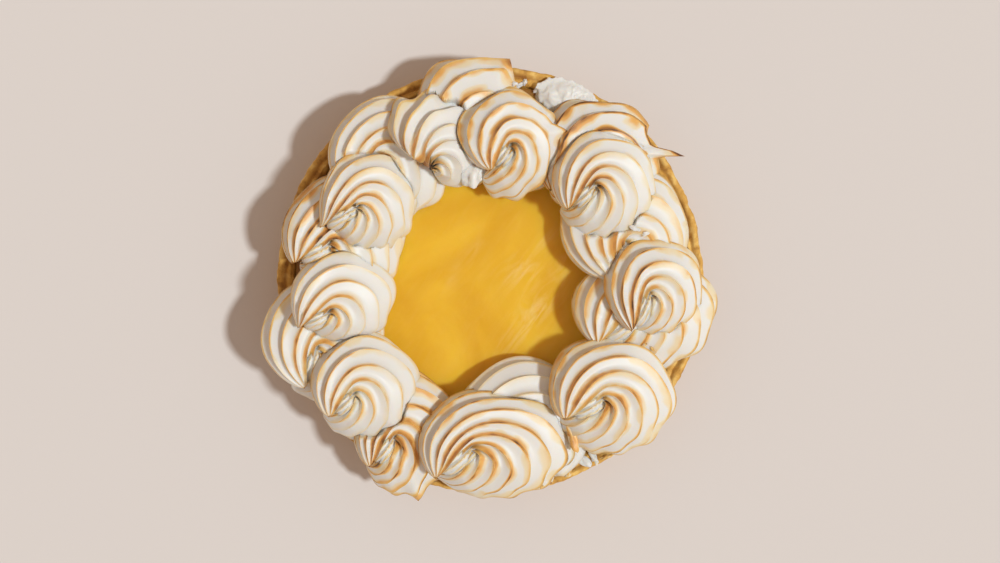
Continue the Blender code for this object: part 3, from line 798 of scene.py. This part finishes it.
def makeCrust():
    look = crustLook
    deselectAll()
    bpy.ops.mesh.primitive_circle_add(vertices=look["points"], radius=look["foot"], fill_type="NGON")
    crust = bpy.context.object
    crust.name = "bakedShell"
    bpy.ops.object.mode_set(mode="EDIT")
    bpy.ops.mesh.select_all(action="SELECT")
    followProfile(look["foot"], 0.0, crustProfile())
    bpy.ops.mesh.select_all(action="SELECT")
    bpy.ops.mesh.normals_make_consistent(inside=False)
    bpy.ops.object.mode_set(mode="OBJECT")
    points = getPoints(crust)
    flat = np.hypot(points[:, 0], points[:, 1])
    angle = np.arctan2(points[:, 1], points[:, 0])
    even = look["evenBelow"]
    top = (flat > look["rim"] - look["rimThickness"] + 0.0008) & (points[:, 2] > even)
    share = np.where(top, (points[:, 2] - even) / (look["height"] - even), 0.0)
    points[:, 2] += look["unevenness"] * crustWave(angle) * share
    outward = 1.0 + look["unevenness"] * crustWave(angle + 1.0) * share / look["rim"]
    rough = wobble(points, 2.2 * mm, 4.0) + 0.6 * wobble(points, 0.9 * mm, 9.0)
    outside = np.where((points[:, 2] > 0.0008) & (flat > 0.1), 1.0, 0.0)
    rim = softStep((points[:, 2] - 0.020) / 0.006)
    lumps = wobble(points, 7 * mm, 21.0) + 0.5 * wobble(points, 3.6 * mm, 33.0)
    push = look["flakes"] * rough * outside * (0.5 + 0.5 * rim)
    push += look["lumps"] * lumps * rim * outside * 0.7
    points[:, :2] *= (outward + push / np.maximum(flat, 0.01))[:, None]
    points[:, 2] += look["flakes"] * 0.8 * wobble(points, 1.6 * mm, 14.0) * rim * outside
    points[:, 2] += look["lumps"] * (wobble(points, 6 * mm, 45.0) - 0.15) * rim * outside
    setPoints(crust, points)
    # painted shade down the groove inside the double rim, and a darker baked tone in random patches
    grooveShade = np.exp(-((flat - (look["rim"] - 0.0041)) / 0.0009) ** 2)
    darker = softStep(wobble(points, 9 * mm, 2.0))
    paint(crust, "bake", np.clip(grooveShade * rim * 0.55 + 0.35 * darker, 0.0, 1.0))
    finishPiece(crust, makeCrustMaterial(), ["pastry_shell"], creaseAngle=50)


makeCrust()
print("crust turned")


fillingLook = {
    "points": 256,
    "rings": 64,
    "ripple": 0.12 * mm,
    "top": 0.0252,
    # painted shade: from this radius outwards, over this width, the filling's edge by the crust turns
    # dark brown
    "bakedFrom": 0.0985,
    "bakedOver": 0.003,
    "deep": (0.770, 0.415, 0.012),
    "bright": (0.880, 0.540, 0.028),
    "pale": (0.920, 0.640, 0.210),
    # dark brown, painted as shade along the filling's edge by the crust
    "baked": (0.330, 0.140, 0.022),
    "roughness": 0.34,
    "shine": 0.35,
    "depth": (0.65, (1.0, 0.7, 0.1), 0.014),
    "grain": (45.0, 700.0, 0.12),
    "relief": (0.35, 0.0012),
    # the pale threads' direction, and how many come in a metre along it, across it and down
    "threadAngle": 52.0,
    "threadCounts": (36, 150, 60),
    "threadsFrom": 0.40,
    "threadContrast": 3.4,
    # streaks stirred in: centre x and y, length and width in millimetres, direction, strength
    "stirs": ((22.0, -18.0, 40.0, 13.0, 54.0, 1.0), (16.0, 5.0, 20.0, 14.0, 25.0, 0.8),
              (-8.0, 14.0, 12.0, 8.0, 60.0, 0.45), (39.0, 4.0, 26.0, 6.0, 84.0, 0.55),
              (30.0, 22.0, 16.0, 6.0, 40.0, 0.40), (-20.0, 2.0, 16.0, 6.0, 60.0, 0.25)),
}


def makeFillingMaterial():
    look = fillingLook
    material, tree, shader = newMaterial("mangoCurd", look["roughness"],
                                         Specular_IOR_Level=look["shine"])
    where = addNode(tree, "ShaderNodeTexCoord").outputs["Object"]
    cloud = placeNoise(tree, where, Scale=16.0, Detail=4.0, Distortion=1.2)
    colour = ramp(tree, cloud, ((0.30, look["deep"]), (0.68, look["bright"])))
    along = addNode(tree, "ShaderNodeMapping", vector_type="TEXTURE")
    along.inputs["Rotation"].default_value = (0.0, 0.0, math.radians(look["threadAngle"]))
    along.inputs["Scale"].default_value = tuple(1 / count for count in look["threadCounts"])
    tree.links.new(where, along.inputs["Vector"])
    threads = placeNoise(tree, along.outputs["Vector"], Scale=1.0, Detail=5.0, Distortion=1.6)
    threads = calc(tree, "SUBTRACT", threads, look["threadsFrom"])
    threads = calc(tree, "MULTIPLY", threads, look["threadContrast"], clamp=True)
    stirred = addNode(tree, "ShaderNodeAttribute", attribute_name="stirred")
    strength = calc(tree, "MULTIPLY", threads, stirred.outputs["Fac"])
    colour = mixColour(tree, strength, colour, look["pale"])
    # painted shade along the filling's edge, in the gap by the crust
    edge = addNode(tree, "ShaderNodeAttribute", attribute_name="edge")
    colour = mixColour(tree, edge.outputs["Fac"], colour, look["baked"])
    tree.links.new(colour, shader.inputs["Base Color"])
    grain = placeGrain(tree, *look["grain"])
    addBump(tree, shader, grain.outputs["Height"], *look["relief"])
    addDepth(shader, *look["depth"])
    return material


def makeFilling():
    look = fillingLook
    low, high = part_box("mango_filling")
    rim = high[0]
    foot = crustLook["foot"] - crustLook["wall"] - 0.0003
    deselectAll()
    bpy.ops.mesh.primitive_circle_add(vertices=look["points"], radius=foot, fill_type="NGON",
                                      location=(0, 0, low[2]))
    bpy.ops.object.transform_apply(location=True)
    filling = bpy.context.object
    filling.name = "setCurd"
    bpy.ops.object.mode_set(mode="EDIT")
    bpy.ops.mesh.select_all(action="SELECT")
    profile = [(foot + 0.0017, low[2] + 0.0012), (rim - 0.0010, 0.0212), (rim, look["top"] - 0.0008),
               (rim - 0.0006, look["top"] - 0.0002), (rim - 0.0014, look["top"])]
    for ring in range(1, look["rings"]):
        profile.append(((rim - 0.0014) * (1 - ring / look["rings"]), look["top"]))
    followProfile(foot, low[2], profile)
    bpy.ops.mesh.merge(type="CENTER")
    bpy.ops.mesh.select_all(action="SELECT")
    bpy.ops.mesh.normals_make_consistent(inside=False)
    bpy.ops.object.mode_set(mode="OBJECT")
    points = getPoints(filling)
    surface = softStep((points[:, 2] - look["top"] + 0.0004) / 0.0004)
    waves = wobble(points, 13 * mm, 1.0) + 0.5 * wobble(points, 5 * mm, 6.0)
    points[:, 2] += look["ripple"] * (waves - 0.9) * surface
    setPoints(filling, points)
    stirred = np.zeros(len(points))
    for x, y, length, width, direction, strength in look["stirs"]:
        forward = unit(direction)
        dx = points[:, 0] / mm - x
        dy = points[:, 1] / mm - y
        ahead = (dx * forward[0] + dy * forward[1]) / (length / 2)
        beside = (dy * forward[0] - dx * forward[1]) / (width / 2)
        stirred = np.maximum(stirred, strength * np.exp(-ahead ** 2 - beside ** 2))
    paint(filling, "stirred", 0.06 + 0.88 * stirred)
    # painted shade on the filling's edge in the gap by the crust
    outside = np.hypot(points[:, 0], points[:, 1]) - look["bakedFrom"]
    paint(filling, "edge", softStep(outside / look["bakedOver"]))
    finishPiece(filling, makeFillingMaterial(), ["mango_filling"], creaseAngle=40)


makeFilling()
print("filling set")


smearLook = {
    "from": 77.5,
    "to": 56.0,
    "radius": 0.1040,
    "width": 0.0215,
    "height": 0.0078,
    "torn": 1.3 * mm,
    "edge": 1.4 * mm,
    "voxel": 0.45 * mm,
}


def makeSmear():
    look = smearLook
    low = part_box("meringue_smear")[0]
    deselectAll()
    bpy.ops.mesh.primitive_ico_sphere_add(subdivisions=6, radius=1)
    smear = bpy.context.object
    smear.name = "meringueSmear"
    ball = getPoints(smear)
    angle = np.radians(look["from"] + (look["to"] - look["from"]) * (ball[:, 0] * 0.47 + 0.5))
    radius = look["radius"] + look["width"] / 2 * ball[:, 1]
    points = np.stack((np.cos(angle) * radius, np.sin(angle) * radius,
                       low[2] + look["height"] * ball[:, 2]), axis=1)
    shreds = softStep((ball[:, 0] + 0.25) / 0.4) * softStep((ball[:, 1] + 0.3) / 0.5)
    torn = 1.1 * wobble(points, 6.0 * mm, 3.0) + 0.5 * np.abs(wobble(points, 3.2 * mm, 2.0))
    torn += shreds * 1.3 * np.abs(wobble(points, 2.4 * mm, 7.0))
    torn += shreds * 0.5 * np.abs(wobble(points, 1.2 * mm, 5.0))
    torn += 0.15 * wobble(points, 1.4 * mm, 12.0) - 0.3
    upper = softStep(ball[:, 2] / 0.3)
    ragged = softStep((np.hypot(ball[:, 0], ball[:, 1]) - 0.5) / 0.5)
    points[:, 0] += look["torn"] * (0.6 * upper + 1.2 * ragged) * wobble(points, 2.6 * mm, 8.0)
    points[:, 1] += look["torn"] * (0.4 * upper + 1.2 * ragged) * wobble(points, 2.6 * mm, 18.0)
    points[:, 2] += look["torn"] * torn * upper
    room = softStep((np.hypot(points[:, 0], points[:, 1]) - rimRoom["radius"]) / (1.0 * mm) + 1.0)
    under = low[2] + (rimRoom["height"] - low[2]) * room
    thin = look["edge"] * softStep((ball[:, 2] + 0.15) / 0.3)
    points[:, 2] = np.maximum(points[:, 2], under + thin)
    setPoints(smear, points)
    pick(smear)
    whole = smear.modifiers.new("whole", "REMESH")
    whole.mode = "VOXEL"
    whole.voxel_size = look["voxel"]
    bpy.ops.object.modifier_apply(modifier="whole")
    closeAndCut(smear, low[2])
    paint(smear, "toast", np.zeros(len(smear.data.vertices)))
    finishPiece(smear, meringue, ["meringue_smear"])


makeSmear()
print("smear scraped")


# what broke off and lies about: centre x and y, length, width and height in millimetres,
# direction, toast
scraps = (
    (-8.2, 56.6, 15.0, 10.0, 10.0, 62.0, 0.03),
    (15.6, 104.4, 7.5, 2.6, 2.2, 22.0, 0.00),
    (18.4, 105.6, 3.0, 2.4, 2.6, 80.0, 0.00),
    (12.2, 103.2, 3.4, 2.2, 1.6, 10.0, 0.05),
    (75.5, 26.6, 6.0, 2.4, 1.6, -25.0, 0.00),
    (80.8, 24.0, 4.4, 1.8, 1.4, 20.0, 0.10),
    (42.0, -81.0, 14.0, 4.4, 5.0, -72.0, 0.45),
    (41.6, -103.2, 5.0, 2.6, 2.0, 50.0, 0.42),
    (49.6, -96.6, 10.0, 4.2, 2.6, -30.0, 0.04),
    (55.2, -95.2, 6.6, 2.8, 2.0, -62.0, 0.12),
    (62.0, -94.4, 6.4, 2.0, 1.6, 18.0, 0.50),
    (27.0, -108.6, 2.6, 1.8, 1.4, 60.0, 0.60),
    (31.6, -107.4, 2.2, 1.6, 1.2, -10.0, 0.55),
    (80.2, -34.4, 3.6, 1.8, 1.3, 30.0, 0.55),
    (85.0, -36.2, 2.6, 1.6, 1.2, -40.0, 0.40),
)


def makeScraps():
    # one lump, copied for every scrap and laid on what is under it
    deselectAll()
    bpy.ops.mesh.primitive_ico_sphere_add(subdivisions=3, radius=0.5)
    lump = bpy.context.object
    shape = getPoints(lump)
    below = bpy.context.evaluated_depsgraph_get()
    places = []
    for scrap in scraps:
        above = (scrap[0] * mm, scrap[1] * mm, 0.2)
        hit, where = bpy.context.scene.ray_cast(below, above, (0, 0, -1))[:2]
        places.append(where[2] if hit else 0.0)
    for number, (x, y, length, width, height, direction, toasted) in enumerate(scraps):
        piece = lump.copy()
        piece.data = lump.data.copy()
        piece.name = f"meringueScrap{number + 1}"
        bpy.context.collection.objects.link(piece)
        rough = shape * (1.0 + 0.9 * wobble(shape, 0.42, number * 3.1))[:, None]
        forward = unit(direction)
        long = rough[:, 0] * length * mm
        wide = rough[:, 1] * width * mm
        points = np.empty_like(rough)
        points[:, 0] = x * mm + long * forward[0] - wide * forward[1]
        points[:, 1] = y * mm + long * forward[1] + wide * forward[0]
        points[:, 2] = places[number] + (rough[:, 2] + 0.30) * height * mm
        setPoints(piece, points)
        paint(piece, "toast", np.clip(toasted * (1.0 + wobble(points, 2 * mm, number)), 0.0, 1.0))
        finishPiece(piece, meringue, [])
    bpy.data.objects.remove(lump)


makeScraps()
print("scraps laid:", len(scraps))


view = {
    "imageSize": (1000, 563),
    "metresPerPixel": 0.000534,     # at the height of the crust's rim
    "centrePixel": (490.5, 280.0),
    "distance": 1.0,
    "sensorWidth": 36,
}

# the sun's height and direction in degrees, where 0 is at the right, and a warm sky
light = {
    "elevation": 59.0,
    "from": -14.0,
    "softness": 5,
    "power": 2.30,
    "colour": (0.88, 0.965, 1.0),
    "skyColour": (1.0, 0.80, 0.66),
    "skyPower": 0.46,
    "floorColour": (0.705, 0.650, 0.620),
}


def makeFloor():
    deselectAll()
    bpy.ops.mesh.primitive_plane_add(size=4, location=(0, 0, -0.0002))
    bpy.ops.object.transform_apply(location=True)
    floor = bpy.context.object
    floor.name = "studioFloor"
    material, tree, shader = newMaterial("paleFloor", 0.85)
    shader.inputs["Base Color"].default_value = (*light["floorColour"], 1.0)
    floor.data.materials.append(material)


def makeLight():
    sun = bpy.data.lights.new("windowSun", "SUN")
    sun.energy = light["power"]
    sun.angle = math.radians(light["softness"])
    sun.color = light["colour"]
    lamp = bpy.data.objects.new("windowSun", sun)
    bpy.context.scene.collection.objects.link(lamp)
    elevation = math.radians(light["elevation"])
    flat = unit(light["from"]) * math.cos(elevation)
    towards = Vector((-flat[0], -flat[1], -math.sin(elevation)))
    lamp.rotation_euler = towards.to_track_quat("-Z", "Y").to_euler()
    world = bpy.context.scene.world or bpy.data.worlds.new("studio")
    bpy.context.scene.world = world
    world.use_nodes = True
    background = world.node_tree.nodes["Background"]
    background.inputs["Color"].default_value = (*light["skyColour"], 1.0)
    background.inputs["Strength"].default_value = light["skyPower"]
    bpy.context.scene.view_settings.view_transform = "Standard"


def makeCamera():
    width, height = view["imageSize"]
    scale = view["metresPerPixel"]
    lens = bpy.data.cameras.new("topCamera")
    camera = bpy.data.objects.new("topCamera", lens)
    bpy.context.scene.collection.objects.link(camera)
    camera.location = ((width / 2 - view["centrePixel"][0]) * scale,
                       -(height / 2 - view["centrePixel"][1]) * scale, view["distance"])
    lens.sensor_width = view["sensorWidth"]
    lens.lens = lens.sensor_width * (view["distance"] - crustLook["height"]) / (width * scale)
    bpy.context.scene.camera = camera


makeFloor()
makeLight()
makeCamera()
print("floor, light and camera set")
